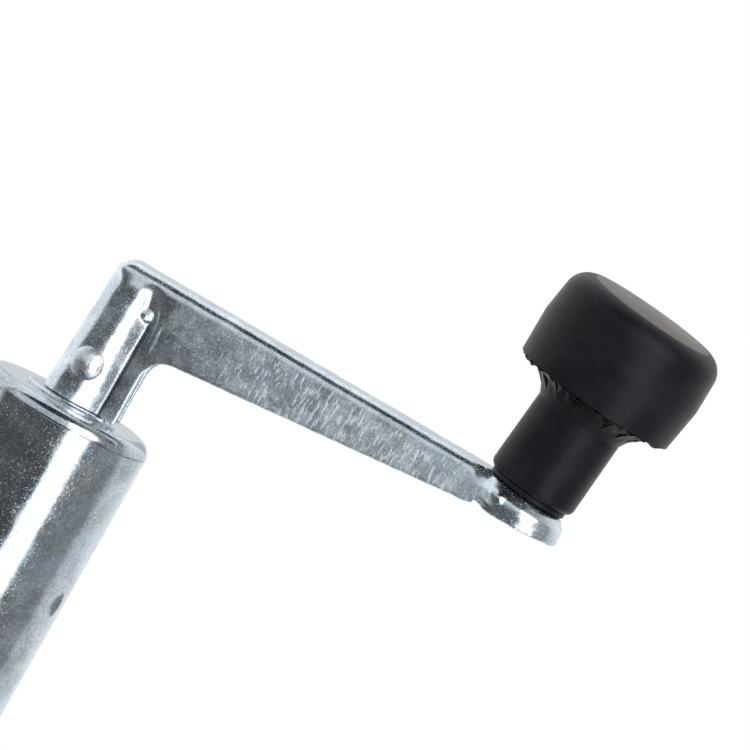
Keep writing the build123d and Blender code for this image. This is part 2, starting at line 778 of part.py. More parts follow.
# Solid rubber tyre clamped between the rim halves
tread_half = tread_width / 2
tyre_side_radii = (rim_bend_r, 0, tyre_lip_r, tyre_shoulder_r)
tyre_radii = tyre_side_radii + tyre_side_radii[::-1]
with BuildPart() as tyre:
    with BuildSketch(wheel_side):
        with BuildLine():
            FilletPolyline(
                (rim_half_width - seat_gap, rim_seat_r + seat_gap),
                (rim_half_width + rim_lip_lean - seat_gap, rim_flange_r),
                (tread_half, rim_flange_r + tyre_lip),
                (tread_half, wheel_r),
                (-tread_half, wheel_r),
                (-tread_half, rim_flange_r + tyre_lip),
                (-rim_half_width - rim_lip_lean + seat_gap, rim_flange_r),
                (-rim_half_width + seat_gap, rim_seat_r + seat_gap),
                radius=tyre_radii,
                close=True,
            )
        make_face()
        with Locations((tread_groove_y, wheel_r), (-tread_groove_y, wheel_r)):
            Rectangle(tread_groove_w, 2 * tread_groove_depth, mode=Mode.SUBTRACT)
    revolve(axis=wheel_axis)
save(tyre, "tyre")

# Crank handle: one pressed steel channel, open below, wrapped round the spindle and riveted to it
lean = tan(radians(leg_lean))
leg_top_left = -leg_left + (arm_top - leg_bottom) * lean
arm_end = knob_reach - nose_top_r / 2
arm_end_z = arm_top - (arm_end - pad_bend_x) * tan(tilt) - seat_gap
with BuildPart() as handle_room:
    with BuildSketch(Plane.XZ):
        with BuildLine():
            FilletPolyline(
                (-leg_left + sheet, leg_bottom - cut_over),
                (leg_top_left + sheet, arm_top - sheet),
                (pad_bend_x, arm_top - sheet),
                (arm_end, arm_end_z - sheet),
                (arm_end, leg_bottom - cut_over),
                radius=(0, elbow_r - sheet, 0, 0, 0),
                close=True,
            )
        make_face()
    extrude(amount=arm_width / 2 - sheet, both=True)
    with BuildSketch(Plane.XY.offset(leg_bottom - cut_over)):
        Circle(journal_r + seat_gap)
    extrude(amount=journal_top - leg_bottom + cut_over + face_gap)
    with BuildSketch(knob_side):
        with BuildLine():
            Polyline(
                (0, -nose_height - cut_over),
                (nose_foot_r - sheet, -nose_height - cut_over),
                (nose_foot_r - sheet, -nose_height),
                (nose_top_r - sheet, -sheet),
                (0, -sheet),
                close=True,
            )
        make_face()
    revolve(axis=knob_axis)
with BuildPart() as handle:
    with BuildSketch(Plane.XZ):
        with BuildLine():
            FilletPolyline(
                (-leg_left, leg_bottom),
                (leg_top_left, arm_top),
                (pad_bend_x, arm_top),
                (arm_end, arm_end_z),
                (arm_end, arm_end_z - nose_height + nose_round / 2),
                (pad_bend_x, tube_top + arm_toe_height),
                (arm_root_x, tube_top + arm_root_height),
                (leg_right, tube_top + arm_root_height - crotch_drop),
                (leg_right, leg_bottom),
                radius=(0, elbow_r, 0, 0, 0, 0, 0, crotch_r, 0),
                close=True,
            )
        make_face()
    extrude(amount=arm_width / 2, both=True)
    web_faces = handle.faces().filter_by(lambda f: f.normal_at().Z > 0.5 or f.normal_at().X < -0.5)
    fillet([e for e in web_faces.edges() if abs(abs(e.center().Y) - arm_width / 2) < seat_gap], bend_r)
    with BuildSketch(knob_side):
        with BuildLine():
            Polyline(
                (0, -nose_height),
                (nose_foot_r, -nose_height),
                (nose_top_r, 0),
                (0, 0),
                close=True,
            )
        make_face()
        fillet(vertices().sort_by_distance((nose_top_r, 0))[0], nose_round)
    revolve(axis=knob_axis)
    with BuildSketch(Plane.XZ):
        with BuildLine():
            Polyline(
                (0, leg_bottom),
                (bulge_r, leg_bottom),
                (bulge_r, tube_top + bulge_height),
                (arm_width / 2 - sheet, tube_top + bulge_height + bulge_fade),
                (0, tube_top + bulge_height + bulge_fade),
                close=True,
            )
        make_face()
    revolve(axis=Axis.Z)
    add(handle_room.part, mode=Mode.SUBTRACT)
    for side in (1, -1):
        with BuildSketch(Plane.XZ.offset(side * rivet_flat)):
            with Locations((0, tube_top + rivet_height)):
                Circle(rivet_head_d / 2 + seat_gap)
        extrude(amount=side * arm_width, mode=Mode.SUBTRACT)
    with BuildSketch(Plane.XZ):
        with Locations((0, tube_top + rivet_height)):
            Circle(rivet_d / 2 + seat_gap)
    extrude(amount=arm_width, both=True, mode=Mode.SUBTRACT)
    with BuildSketch(knob_plane):
        Circle(knob_pin_d / 2 + seat_gap)
    extrude(amount=-nose_height, mode=Mode.SUBTRACT)
save(handle, "handle")

# Rivet with two domed heads
rivet_z = tube_top + rivet_height
rivet_head_r = rivet_head_d / 2
rivet_end = rivet_flat + rivet_head_h
dome_r = (rivet_head_r**2 + rivet_head_h**2) / (2 * rivet_head_h)
dome_half = asin(rivet_head_r / dome_r) / 2
with BuildPart() as handle_rivet:
    with BuildSketch(Plane.YZ):
        with BuildLine():
            Polyline(
                (rivet_end, rivet_z),
                (0, rivet_z),
                (0, rivet_z + rivet_d / 2),
                (rivet_flat, rivet_z + rivet_d / 2),
                (rivet_flat, rivet_z + rivet_head_r),
            )
            ThreePointArc(
                (rivet_flat, rivet_z + rivet_head_r),
                (rivet_end - dome_r * (1 - cos(dome_half)), rivet_z + dome_r * sin(dome_half)),
                (rivet_end, rivet_z),
            )
        make_face()
    revolve(axis=Axis((0, 0, rivet_z), (0, 1, 0)))
    mirror(about=Plane.XZ)
save(handle_rivet, "handle_rivet")

# Pin that the knob turns on: riveted over under the arm, with a head inside the knob
knob_pin_top = foot_t + head_top_h - knob_pocket_depth
with BuildPart() as knob_pin:
    with BuildSketch(knob_plane.offset(-sheet - knob_pin_tail_t)):
        Circle(knob_pin_tail_d / 2)
    extrude(amount=knob_pin_tail_t)
    chamfer(knob_pin.edges().sort_by(knob_axis)[0], knob_pin_tail_t / 2)
    with BuildSketch(knob_plane.offset(-sheet)):
        Circle(knob_pin_d / 2)
    extrude(amount=sheet + knob_pin_top + face_gap)
    with BuildSketch(knob_plane.offset(knob_pin_top + face_gap)):
        Circle(knob_pin_head_d / 2)
    extrude(amount=knob_pin_head_t)
    chamfer(knob_pin.edges().sort_by(knob_axis)[-1], edge_chamfer)
save(knob_pin, "knob_pin")
with BuildPart() as knob_washer:
    with BuildSketch(knob_plane):
        Circle(foot_d / 2)
        Circle(knob_pin_d / 2 + seat_gap, mode=Mode.SUBTRACT)
    extrude(amount=foot_t - seat_gap)
save(knob_washer, "knob_washer")

# Moulded knob: stem, hollow head with ribs under its rim, and a pocket for the pin's head and the cap
knob_base = knob_plane.offset(foot_t)
grip_side = Plane(origin=knob_base.origin, x_dir=knob_side.x_dir, z_dir=knob_side.z_dir)
cup_top_h = head_top_h - head_roof
cup_r = head_rim_r - head_wall
with BuildPart() as knob_grip:
    with BuildSketch(grip_side) as grip_profile:
        with BuildLine():
            skirt = Polyline(
                (0, 0),
                (stem_foot_r, 0),
                (stem_neck_r, head_rim_h),
                (stem_neck_r, cup_top_h),
                (cup_r, cup_top_h),
                (cup_r, head_rim_h),
                (head_rim_r, head_rim_h),
                (head_part_r, head_part_h),
                (head_shoulder_r, head_shoulder_h),
            )
            top = TangentArc(skirt @ 1, (cap_r + cap_rim, head_top_h), tangent=skirt % 1)
            Polyline(top @ 1, (0, head_top_h), (0, 0))
        make_face()
        fillet(grip_profile.vertices().sort_by_distance((stem_foot_r, 0))[0], stem_round)
        fillet(grip_profile.vertices().sort_by_distance((cup_r, cup_top_h))[0], stem_round)
    revolve(axis=knob_axis)
    for k in range(rib_count):
        turn = 2 * pi * (k + 0.5) / rib_count
        outward = knob_plane.x_dir * cos(turn) + knob_plane.y_dir * sin(turn)
        rib_plane = Plane(knob_base.origin, x_dir=outward, z_dir=outward.cross(knob_plane.z_dir))
        with BuildSketch(rib_plane):
            with BuildLine():
                foot_edge = ThreePointArc(
                    (stem_neck_r - rib_t, rib_foot_h),
                    (rib_mid_r, rib_mid_h),
                    (cup_r + rib_t, head_rim_h + rib_t / 2),
                )
                Polyline(
                    foot_edge @ 1,
                    (cup_r + rib_t, cup_top_h + rib_t),
                    (stem_neck_r - rib_t, cup_top_h + rib_t),
                    foot_edge @ 0,
                )
            make_face()
        extrude(amount=rib_t / 2, both=True)
    with BuildSketch(knob_base):
        Circle(knob_pin_d / 2 + run_gap)
    extrude(amount=head_top_h, mode=Mode.SUBTRACT)
    with BuildSketch(knob_base.offset(head_top_h - knob_pocket_depth)):
        Circle(knob_pocket_d / 2)
    extrude(amount=knob_pocket_depth, mode=Mode.SUBTRACT)
    with BuildSketch(knob_base.offset(head_top_h - cap_t)):
        Circle(cap_r)
    extrude(amount=cap_t, mode=Mode.SUBTRACT)
save(knob_grip, "knob_grip")

# Crowned cap set into the knob's top
with BuildPart() as knob_cap:
    with BuildSketch(grip_side):
        with BuildLine():
            crown = ThreePointArc(
                (cap_line - cap_r, head_top_h),
                (0, head_top_h + cap_crown),
                (cap_r - cap_line, head_top_h),
            )
            Polyline(
                crown @ 1,
                (cap_r - cap_line, head_top_h - cap_t),
                (cap_line - cap_r, head_top_h - cap_t),
                crown @ 0,
            )
        make_face()
        with Locations((-cap_r, head_top_h)):
            Rectangle(2 * cap_r, 4 * cap_r, mode=Mode.SUBTRACT)
    revolve(axis=knob_axis)
save(knob_cap, "knob_cap")
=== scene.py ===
import json
import math

import bmesh
import bpy
from mathutils import Matrix, Vector, noise
from mathutils.bvhtree import BVHTree


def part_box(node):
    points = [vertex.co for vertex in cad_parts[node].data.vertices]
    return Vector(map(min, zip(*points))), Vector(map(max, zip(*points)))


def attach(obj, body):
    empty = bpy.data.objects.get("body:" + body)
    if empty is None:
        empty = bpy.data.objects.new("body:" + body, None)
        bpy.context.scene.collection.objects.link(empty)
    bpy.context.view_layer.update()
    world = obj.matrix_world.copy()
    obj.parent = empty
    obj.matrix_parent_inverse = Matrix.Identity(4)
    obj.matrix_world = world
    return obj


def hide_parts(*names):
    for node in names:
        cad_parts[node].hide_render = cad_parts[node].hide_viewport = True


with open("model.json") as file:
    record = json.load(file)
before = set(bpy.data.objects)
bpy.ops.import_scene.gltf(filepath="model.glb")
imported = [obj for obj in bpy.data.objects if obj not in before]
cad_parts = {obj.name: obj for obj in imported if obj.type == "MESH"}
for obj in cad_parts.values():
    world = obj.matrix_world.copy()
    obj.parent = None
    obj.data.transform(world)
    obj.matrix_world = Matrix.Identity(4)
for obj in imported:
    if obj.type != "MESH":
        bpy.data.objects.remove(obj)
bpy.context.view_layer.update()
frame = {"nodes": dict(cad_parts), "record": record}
nodes = frame["nodes"]
scene = bpy.context.scene
mm = 0.001
tubeTop = 0.170  # height of the clamp tube's end in the shared frame
print("frame loaded:", len(nodes), "nodes")


# Camera
view = {
    "aim": (0.06387, 0.0, 0.2147),
    "distance": 4.0,
    "elevation": 5.8,
    "azimuth": -6.5,
    "roll": 29.627,
    "focus": 15952,  # focal length in pixels of the photograph
    "side": 750,  # pixels along the photograph's side
    "sensor": 36,
}


def placeCamera():
    elevation, azimuth = math.radians(view["elevation"]), math.radians(view["azimuth"])
    roll = math.radians(view["roll"])
    ahead = Vector(
        (
            math.sin(azimuth) * math.cos(elevation),
            math.cos(azimuth) * math.cos(elevation),
            -math.sin(elevation),
        )
    )
    level = Vector((math.cos(azimuth), -math.sin(azimuth), 0))
    upright = level.cross(ahead)
    right = math.cos(roll) * level + math.sin(roll) * upright
    up = math.cos(roll) * upright - math.sin(roll) * level
    data = bpy.data.cameras.new("camera")
    data.lens = view["focus"] / view["side"] * view["sensor"]
    data.sensor_width = view["sensor"]
    data.clip_start, data.clip_end = 0.1, 60
    camera = bpy.data.objects.new("camera", data)
    scene.collection.objects.link(camera)
    turn = Matrix((right, up, -ahead)).transposed()
    camera.matrix_world = Matrix.Translation(Vector(view["aim"]) - ahead * view["distance"]) @ turn.to_4x4()
    scene.camera = camera


placeCamera()
print("camera placed")


# Shader maths
class Val:
    # a socket of a node tree that can be used in ordinary arithmetic
    def __init__(self, tree, socket):
        self.tree, self.socket = tree, socket

    def maths(self, operation, *values):
        node = self.tree.nodes.new("ShaderNodeMath")
        node.operation = operation
        for slot, value in zip(node.inputs, values):
            if isLink(value):
                self.tree.links.new(value.socket, slot)
            else:
                slot.default_value = value
        return Val(self.tree, node.outputs[0])

    def __add__(self, other):
        return self.maths("ADD", self, other)

    def __sub__(self, other):
        return self.maths("SUBTRACT", self, other)

    def __rsub__(self, other):
        return self.maths("SUBTRACT", other, self)

    def __mul__(self, other):
        return self.maths("MULTIPLY", self, other)

    def __truediv__(self, other):
        return self.maths("DIVIDE", self, other)

    __radd__ = __add__
    __rmul__ = __mul__

    def power(self, other):
        return self.maths("POWER", self, other)

    def absolute(self):
        return self.maths("ABSOLUTE", self)

    def least(self, other):
        return self.maths("MINIMUM", self, other)

    def most(self, other):
        return self.maths("MAXIMUM", self, other)


def isLink(value):
    return isinstance(value, Val)


def withAlpha(colour):
    # a grey level or a colour, as the four numbers of a ramp's stop
    return (colour, colour, colour, 1) if isinstance(colour, (int, float)) else (*colour, 1)


class Finish:
    # builds one material or the world
    def __init__(self, name, tree=None):
        if tree is None:
            self.material = bpy.data.materials.new(name)
            self.material.use_nodes = True
            tree = self.material.node_tree
        self.tree = tree
        tree.nodes.clear()

    def node(self, kind, settings=None, inputs=None):
        node = self.tree.nodes.new(kind)
        for key, value in (settings or {}).items():
            if key == "ramp":
                stops = node.color_ramp.elements
                while len(stops) > 1:
                    stops.remove(stops[-1])
                stops[0].position = value[0][0]
                stops[0].color = withAlpha(value[0][1])
                for place, colour in value[1:]:
                    stops.new(place).color = withAlpha(colour)
            else:
                setattr(node, key, value)
        for key, value in (inputs or {}).items():
            if isLink(value):
                self.tree.links.new(value.socket, node.inputs[key])
            elif isinstance(value, (tuple, list)) and len(value) == 3 and node.inputs[key].type == "RGBA":
                node.inputs[key].default_value = (*value, 1)
            else:
                node.inputs[key].default_value = value
        return node

    def get(self, node, output=0):
        return Val(self.tree, node.outputs[output])

    def point(self, scale=(1, 1, 1), turn=(0, 0, 0), shift=(0, 0, 0)):
        place = self.get(self.node("ShaderNodeTexCoord"), "Object")
        inputs = {"Vector": place, "Location": shift, "Rotation": turn, "Scale": scale}
        return self.get(self.node("ShaderNodeMapping", {}, inputs))

    def parts(self, vector):
        node = self.node("ShaderNodeSeparateXYZ", {}, {"Vector": vector})
        return self.get(node, 0), self.get(node, 1), self.get(node, 2)

    def noise(self, size, detail=3.0, vector=None, rough=0.55):
        inputs = {"Vector": vector or self.point(), "Scale": 1 / size, "Detail": detail, "Roughness": rough}
        return self.get(self.node("ShaderNodeTexNoise", {}, inputs), "Fac")

    def cells(self, size, vector):
        inputs = {"Vector": vector, "Scale": 1 / size}
        return self.get(self.node("ShaderNodeTexVoronoi", {}, inputs), "Distance")

    def step(self, value, low, high, out0=0.0, out1=1.0):
        node = self.node(
            "ShaderNodeMapRange",
            {"interpolation_type": "SMOOTHSTEP"},
            {"Value": value, "From Min": low, "From Max": high, "To Min": out0, "To Max": out1},
        )
        return self.get(node)

    def fall(self, value, low, high):
        return self.step(value, low, high, 1.0, 0.0)

    def mix(self, factor, first, second):
        node = self.node("ShaderNodeMix", {"data_type": "RGBA"}, {"Factor": factor})
        for slot, value in ((node.inputs[6], first), (node.inputs[7], second)):
            if isLink(value):
                self.tree.links.new(value.socket, slot)
            else:
                slot.default_value = (*value, 1)
        return Val(self.tree, node.outputs[2])

    def bump(self, height, depth, strength=1.0):
        node = self.node("ShaderNodeBump", {}, {"Height": height, "Distance": depth, "Strength": strength})
        return self.get(node)

    def surface(self, **inputs):
        names = {
            "colour": "Base Color",
            "metal": "Metallic",
            "rough": "Roughness",
            "normal": "Normal",
            "specular": "Specular IOR Level",
        }
        shader = self.node("ShaderNodeBsdfPrincipled", {}, {names[k]: v for k, v in inputs.items()})
        out = self.node("ShaderNodeOutputMaterial")
        self.tree.links.new(shader.outputs[0], out.inputs["Surface"])
        return self.material


# Finishes. Lengths are in metres, and a mask runs from 0 to 1
plate = {
    "tint": (0.56, 0.66, 0.80),
    "tintShare": 0.55,
    "pit": (0.22, 0.22, 0.25),
    "pitShare": 0.45,
    "relief": 0.00006,
}
wear = {
    "flatTo": (tubeTop + 0.0356, tubeTop + 0.0372),  # above this the pressing's flat side turns over
    "scratchFrom": (0.014, 0.045),
    "scratchTo": (0.101, 0.105),
    "scratchWidth": 0.00095,
    "scratchPatch": 0.010,
    "scratchShare": 0.75,
    "scratch": (0.95, 0.96, 0.97),
    "grooveAt": 0.0084,
    "grooveLean": 0.012,
    "grooveWidth": (0.0003, 0.0009),
    "grooveTo": (tubeTop + 0.024, tubeTop + 0.030),
    "grooveShadeShare": 0.8,
    # dark for grime in the arm's pits, and painted shade for the leg's groove
    "grimeAndGrooveShade": (0.16, 0.16, 0.18),
    "grimeShare": 0.35,
    "dullFrom": 0.008,  # the plate gets steadily duller from here along the arm
    "dullLength": 0.092,
    "dullMost": 0.25,
    "dullStep": (0.004, 0.026),
    "dullStepMost": 0.07,
    "dullTo": (0.098, 0.106),
}
crease = {
    "height": tubeTop - 0.0036,
    "wave": 0.0007,
    "width": (0.00008, 0.0003),
    # painted shade along the crease
    "colour": (0.10, 0.105, 0.115),
    "creaseShadeShare": 0.8,
    "depth": 1.2,
}


def zincPlate(name, dark, light, grain, rough, speck=0.5, ripple=0.3, worn=False, creased=False):
    finish = Finish(name)
    fine = finish.noise(grain, 4.0, rough=0.65)
    broad = finish.noise(grain * 11, 3.0)
    tone = finish.step(fine * 0.6 + broad * 0.4, 0.38, 0.62)
    colour = finish.mix(tone, dark, light)
    tint = finish.step(finish.noise(grain * 14, 2.0, finish.point(shift=(2.1, 0.3, 0.2))), 0.45, 0.75)
    colour = finish.mix(tint * plate["tintShare"], colour, plate["tint"])
    # dull grains and small pits among the bright plate
    dull = finish.noise(grain * 0.75, 3.0, finish.point(shift=(0.4, 0.1, 0.7)), rough=0.6)
    grains = finish.step(dull, 0.56, 0.66)
    pits = finish.step(finish.noise(grain * 0.9, 2.0, finish.point(shift=(0.9, 0.6, 0.2))), 0.62, 0.72)
    colour = finish.mix(pits * plate["pitShare"], colour, plate["pit"])
    dullness = finish.step(broad, 0.35, 0.65, *rough) + grains * speck * 0.4
    height = fine * 0.35 + broad * 1.6 - pits * 0.2
    if worn:
        colour, dullness, height = wearArm(finish, colour, dullness, height, pits)
    if creased:
        # the crease is pressed in and darkened with painted shade
        line = creaseLine(finish)
        colour = finish.mix(line * crease["creaseShadeShare"], colour, crease["colour"])
        height = height - line * crease["depth"]
    normal = finish.bump(height, plate["relief"], ripple)
    return finish.surface(colour=colour, metal=1.0, rough=dullness, normal=normal)


def wearArm(finish, colour, dullness, height, pits):
    # scratches along the arm's side, painted shade in the leg's groove, and a duller plate towards the knob
    direction = finish.point(turn=(0, 0.15, 0), scale=(1, 0.4, 0.24))
    lines = finish.step(finish.noise(wear["scratchWidth"], 3.0, direction, rough=0.6), 0.53, 0.61)
    marks = lines * finish.step(finish.noise(wear["scratchPatch"], 2.0), 0.38, 0.52)
    x, _, z = finish.parts(finish.point())
    flat = finish.fall(z, *wear["flatTo"])
    arm = finish.step(x, *wear["scratchFrom"]) * flat * finish.fall(x, *wear["scratchTo"])
    colour = finish.mix(marks * wear["scratchShare"] * arm, colour, wear["scratch"])
    # painted shade: a dark line down the leg's groove
    away = (x - wear["grooveAt"] - (z - tubeTop) * wear["grooveLean"]).absolute()
    grooveShade = finish.fall(away, *wear["grooveWidth"]) * finish.fall(z, *wear["grooveTo"])
    colour = finish.mix(grooveShade * wear["grooveShadeShare"], colour, wear["grimeAndGrooveShade"])
    reach = ((x - wear["dullFrom"]) / wear["dullLength"]).most(0.0).least(1.0)
    dulled = finish.step(x, *wear["dullStep"]) * wear["dullStepMost"] + reach * wear["dullMost"]
    dullness = dullness + flat * dulled * finish.fall(x, *wear["dullTo"])
    dullness = dullness + marks * arm * 0.12 - pits * arm * 0.12
    colour = finish.mix(pits * arm * wear["grimeShare"], colour, wear["grimeAndGrooveShade"])
    return colour, dullness, height + marks * arm


def creaseLine(finish):
    # a thin broken line round the tube, where the plate is pressed in and darkened with painted shade
    _, _, z = finish.parts(finish.point())
    wave = (finish.noise(0.006, 2.0) - 0.5) * crease["wave"]
    line = finish.fall((z + wave - crease["height"]).absolute(), *crease["width"])
    broken = finish.step(finish.noise(0.008, 2.0, finish.point(shift=(0.3, 0.9, 0.1))), 0.38, 0.52)
    return line * broken


def turnedSteel(name, base, shade, rough):
    finish = Finish(name)
    lines = finish.noise(0.0009, 3.0, finish.point(scale=(1, 1, 7)))
    stain = finish.step(finish.noise(0.009, 3.0), 0.45, 0.7)
    colour = finish.mix(lines, shade, base)
    colour = finish.mix(stain * 0.25, colour, shade)
    dullness = finish.step(lines, 0.3, 0.7, rough - 0.06, rough + 0.08)
    return finish.surface(colour=colour, metal=1.0, rough=dullness, normal=finish.bump(lines, 0.00004))


def moulded(name, base, shade, rough, specular=0.3):
    finish = Finish(name)
    fine = finish.noise(0.0006, 3.0)
    cloud = finish.noise(0.012, 3.0)
    nicks = finish.fall(finish.cells(0.0045, finish.point(shift=(0.2, 0.5, 0.8))), 0.02, 0.07)
    colour = finish.mix(finish.step(cloud, 0.35, 0.7), base, shade)
    colour = finish.mix(nicks * 0.12, colour, (0.10, 0.10, 0.105))
    dullness = finish.step(cloud * 0.6 + fine * 0.4, 0.35, 0.65, *rough)
    normal = finish.bump(fine + cloud * 0.8 - nicks * 0.5, 0.00006, 0.6)
    return finish.surface(colour=colour, metal=0.0, rough=dullness, normal=normal, specular=specular)


def rubberTread(name):
    finish = Finish(name)
    fine = finish.noise(0.0007, 4.0)
    dust = finish.step(finish.noise(0.016, 4.0, rough=0.65), 0.5, 0.75)
    colour = finish.mix(dust * 0.5, (0.018, 0.018, 0.019), (0.075, 0.073, 0.070))
    dullness = finish.step(fine, 0.3, 0.7, 0.72, 0.9)
    return finish.surface(colour=colour, metal=0.0, rough=dullness, normal=finish.bump(fine, 0.00012))


zincTones = {
    "tube": ((0.37, 0.40, 0.43), (0.68, 0.72, 0.76)),
    "pressed": ((0.46, 0.48, 0.51), (0.74, 0.76, 0.80)),
    "arm": ((0.50, 0.54, 0.58), (0.80, 0.86, 0.91)),
    "rivet": ((0.66, 0.66, 0.68), (0.86, 0.86, 0.88)),
    "fork": ((0.50, 0.51, 0.53), (0.70, 0.71, 0.74)),
}
blackTones = ((0.0062, 0.0062, 0.0080), (0.0104, 0.0104, 0.0130))
capTones = ((0.050, 0.034, 0.022), (0.068, 0.050, 0.036))
guideTones = ((0.028, 0.028, 0.03), (0.04, 0.04, 0.042))
finishes = {
    "zinc_tube": zincPlate("zincTube", *zincTones["tube"], 0.00062, (0.10, 0.17), 0.8, 0.45, creased=True),
    "zinc_pressed": zincPlate("zincPressed", *zincTones["pressed"], 0.0006, (0.18, 0.30)),
    "zinc_arm": zincPlate("zincArm", *zincTones["arm"], 0.0006, (0.17, 0.27), 0.9, 0.5, worn=True),
    "zinc_rivet": zincPlate("zincRivet", *zincTones["rivet"], 0.0004, (0.18, 0.32), 0.5, 4.0),
    "zinc_fork": zincPlate("zincFork", *zincTones["fork"], 0.0008, (0.20, 0.34)),
    "steel": turnedSteel("steel", (0.50, 0.50, 0.51), (0.32, 0.32, 0.33), 0.38),
    "bearing_steel": turnedSteel("bearingSteel", (0.66, 0.66, 0.67), (0.52, 0.52, 0.53), 0.2),
    "fastener": turnedSteel("fastener", (0.70, 0.71, 0.72), (0.50, 0.51, 0.53), 0.32),
    "bronze": turnedSteel("bronze", (0.62, 0.44, 0.22), (0.42, 0.28, 0.13), 0.36),
    "black_plastic": moulded("blackPlastic", *blackTones, (0.34, 0.44), specular=0.14),
    "cap_plastic": moulded("capPlastic", *capTones, (0.27, 0.36), specular=0.14),
    "guide_plastic": moulded("guidePlastic", *guideTones, (0.45, 0.6)),
    "rubber": rubberTread("rubber"),
}
for part in frame["record"]["subparts"]:
    node = nodes[part["node"]]
    node.data.materials.clear()
    node.data.materials.append(finishes[part["material_slot"]])
nodes["handle_rivet"].data.materials[0] = finishes["zinc_rivet"]
nodes["knob_cap"].data.materials[0] = finishes["cap_plastic"]
print("finishes")


# Mesh helpers
def finishPiece(name, bm, material, body, instead=()):
    mesh = bpy.data.meshes.new(name)
    bm.to_mesh(mesh)
    bm.free()
    for face in mesh.polygons:
        face.use_smooth = True
    mesh.materials.append(material)
    piece = bpy.data.objects.new(name, mesh)
    scene.collection.objects.link(piece)
    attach(piece, body)
    if instead:
        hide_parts(*instead)


def ease(low, high, value):
    t = min(max((value - low) / (high - low), 0.0), 1.0)
    return t * t * (3 - 2 * t)


def fade(low, high, value):
    return 1 - ease(low, high, value)


def along(points, x):
    # straight reading between the points of a list
    for (x0, y0), (x1, y1) in zip(points, points[1:]):
        if x <= x1:
            t = min(max((x - x0) / (x1 - x0), 0.0), 1.0)
            return y0 + (y1 - y0) * t
    return points[-1][1]


def relax(bm, verts, passes):
    for _ in range(passes):
        bmesh.ops.smooth_vert(bm, verts=verts, factor=0.5, use_axis_x=True, use_axis_y=True, use_axis_z=True)


# Handle. Numbers are in millimetres: x along the arm, y from the middle plane, h the height over the tube
handle = {
    "voxel": 0.45,
    "lift": 0.4,  # heights are counted from this much over the tube's end
    "legReach": (20, 37),  # the leg's shape is worked out within this x and h
    "legTop": (33, 37),
    "round": 7.5,  # radius of the leg's back
    "backAt": (-7.7, 2),  # x of the leg's back, and the height it is taken at
    "lean": 0.0472,
    "backFrom": 6.6,  # radius beyond which a point lies on the back's outer face
    "backUpright": 0.8,
    # outline of the leg's flange: place along the arm, distance from the middle plane
    "section": (
        (0.0, 7.50),
        (1.0, 7.42),
        (2.0, 7.18),
        (3.0, 6.84),
        (4.0, 6.42),
        (5.0, 5.92),
        (5.6, 5.58),
        (6.6, 4.93),
        (7.6, 4.24),
        (8.1, 3.90),
        (8.4, 3.78),
        (8.8, 3.82),
        (9.1, 4.10),
        (9.45, 4.45),
        (9.95, 4.30),
        (10.4, 4.55),
        (10.8, 4.80),
        (11.3, 4.66),
        (12.3, 4.68),
        (12.6, 4.64),
        (13.4, 4.34),
        (14.4, 4.10),
    ),
    "sectionStep": 0.14,  # the outline is read five times at this spacing, which softens it
    "lip": 12.9,  # past this the edge keeps its own rounding
    "flangeInside": 1.0,
    "flangeTop": 36,
    "flangeStart": (25, 9),  # height where the outline starts to fade, and how much lower at the lip
    "flangeStartAt": (8.8, 11.0),
    "fillet": (0.3, 0.6),  # how fast the fade moves down the arm with height, and how much faster at the lip
    "filletAt": (11.5, 12.5),
    "filletFrom": 14,
    "filletReach": (13.0, 27.0),
    "crown": (5.0, 8.5),  # the rounding beside the leg's back
    "leaning": (2.5, 8.0),
    "leaningFrom": 0.3,
    "pip": (7.4, 28.6),
    "pipSize": 1.9,
    "pipHeight": 0.8,
    "pipReach": (14, 36, 4),
    "neck": (96, 110, 4.5),  # where the arm widens into the nose: from x, to x, outside this y
    "neckWidth": (7.0, 5.4, 97, 10.5),  # half width at its start, gain, start, length
    "neckStart": (96, 99),
    "neckEnd": (107, 110),
    "neckTop": (34.5, 37.5),
    "noseAxis": (112.0, 37.85, 5.5),  # x, height and tilt in degrees
    "noseRim": 29.75,
    "noseDepth": 7.8,  # of the plain solid
    "noseUpper": 2.5,  # this much below the top keeps its height
    "noseStretch": (0.8, 1.3),
    "noseStretchAt": (101.5, 107),
    "noseSwell": ((-1, 0), (0.3, 0.1), (3.0, 1.15), (5.0, 0.85), (8.0, 0.0)),
    "noseFlanks": (2.6, 8.0),  # the flanks are drawn in between these depths
    "noseFrom": 100,
    "noseSwellAt": (102, 106),
    "foot": 0.3,
    "footFade": (1.2, 3.0),
    "footTop": 4,
    "waves": ((5.5, 0.09), (1.9, 0.03)),  # size and height of the unevenness
    "waveShift": Vector((7, 3, 1)),
    "calmFrom": 118,
    "neckSoft": (97, 110, 5.2, 38.2),
    "legSoft": (20, 35),
    "edgeFrom": 11.3,
    "edgeFine": (11.6, 15.5, 20.5),  # the lip gets a finer mesh between these x and below this height
    "edgePasses": 24,
    "restPasses": 3,
}


def legSection(x):
    reads = [along(handle["section"], x + step * handle["sectionStep"]) for step in (-2, -1, 0, 1, 2)]
    return sum(reads) / len(reads)


def fineShell(node):
    # the node's mesh rebuilt from small even faces
    copy = node.data.copy()
    bm = bmesh.new()
    bm.from_mesh(copy)
    bmesh.ops.remove_doubles(bm, verts=bm.verts, dist=1e-6)
    bm.to_mesh(copy)
    bm.free()
    shell = bpy.data.objects.new("handleShell", copy)
    scene.collection.objects.link(shell)
    remesh = shell.modifiers.new("remesh", "REMESH")
    remesh.mode, remesh.voxel_size, remesh.adaptivity = "VOXEL", handle["voxel"] * mm, 0
    bpy.context.view_layer.update()
    made = bpy.data.meshes.new_from_object(shell.evaluated_get(bpy.context.evaluated_depsgraph_get()))
    bpy.data.objects.remove(shell)
    bm = bmesh.new()
    bm.from_mesh(made)
    bpy.data.meshes.remove(made)
    relax(bm, bm.verts, 1)
    bm.normal_update()
    return bm


